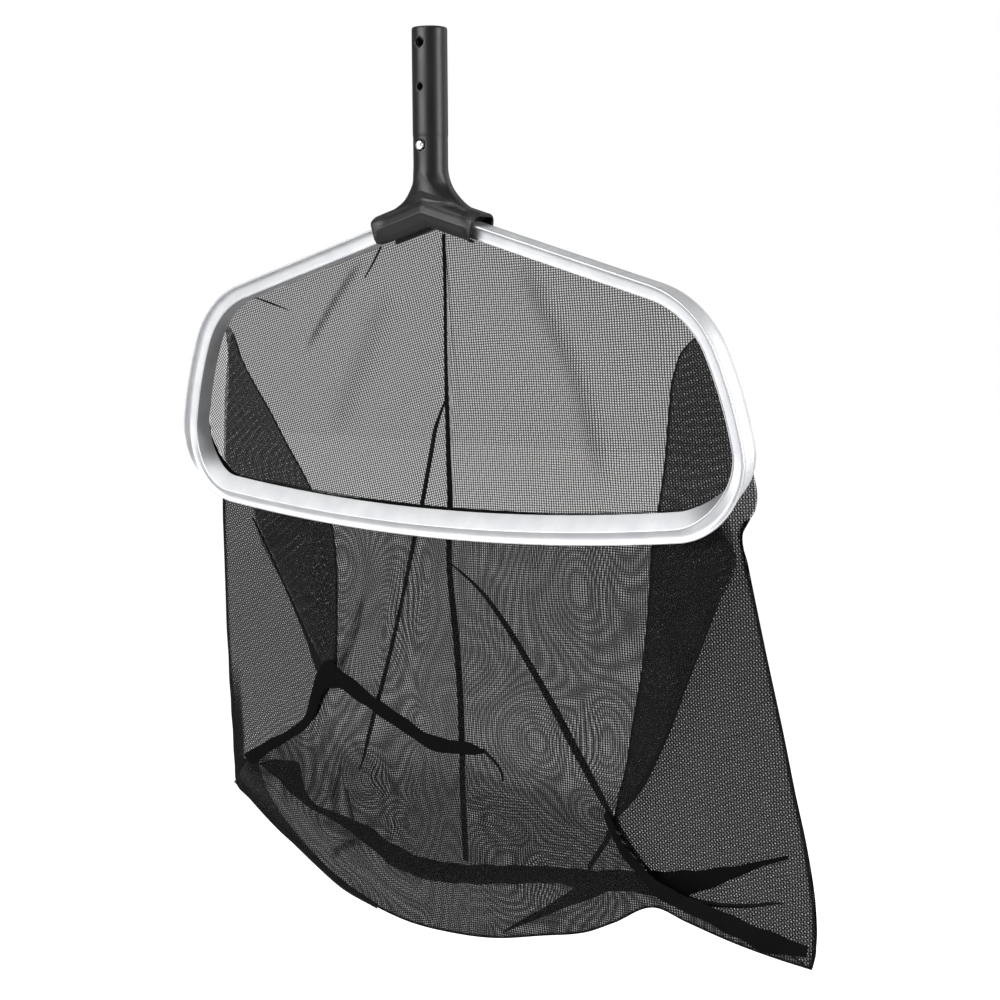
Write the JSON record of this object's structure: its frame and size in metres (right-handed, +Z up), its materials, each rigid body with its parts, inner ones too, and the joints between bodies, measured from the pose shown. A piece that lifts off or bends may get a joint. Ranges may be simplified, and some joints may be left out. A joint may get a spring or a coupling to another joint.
{
  "type": "pool leaf rake",
  "caption": "Deep-bag pool leaf rake with a moulded pole shank and yoke, a spring clip, a bent aluminium hoop and a hanging black mesh bag.",
  "frame": {"origin": "on the shank's axis, in the middle of the stretch that the pole slides over", "axes": "+Z up along the shank towards the pole, the mouth of the bag faces -Y, +X to the right seen from the mouth"},
  "size_m": [0.6121, 0.0533, 0.7538],
  "materials": {
    "moulded_plastic": "fine satin moulding",
    "satin_aluminium": "satin extruded",
    "bead_cord": "smooth",
    "net_mesh": "fine open mesh",
    "seam_tape": "woven",
    "stainless_steel": "rolled",
    "bright_button": "polished"
  },
  "bodies": {
    "rake": {"yoke": "moulded_plastic", "hoop_frame": "satin_aluminium", "rim_bead": "bead_cord", "rim_binding": "seam_tape", "bag_back_panel": "net_mesh", "bag_front_panel": "net_mesh", "bag_left_gusset": "net_mesh", "bag_right_gusset": "net_mesh", "centre_seam_tape": "seam_tape", "bottom_hem_tape": "seam_tape", "left_corner_tape": "seam_tape", "right_corner_tape": "seam_tape", "yoke_hem_strip": "seam_tape", "screw_washers": "stainless_steel", "yoke_screws": "stainless_steel", "clip_bend": "stainless_steel"},
    "front_clip_arm": {"clip_front_leg": "stainless_steel", "clip_front_button": "bright_button"},
    "rear_clip_arm": {"clip_rear_leg": "stainless_steel", "clip_rear_button": "bright_button"}
  },
  "joints": [
    {"name": "front_button_press", "type": "hinge", "parent": "rake", "child": "front_clip_arm", "pos_m": [0, -0.00924, -0.082], "axis": [-1, 0, 0], "range_deg": [0, 9.5], "stiffness_Nm_per_rad": 1.6, "springref_deg": -5.73},
    {"name": "rear_button_press", "type": "hinge", "parent": "rake", "child": "rear_clip_arm", "pos_m": [0, 0.00924, -0.082], "axis": [1, 0, 0], "range_deg": [0, 9.5], "stiffness_Nm_per_rad": 1.6, "springref_deg": -5.73}
  ]
}
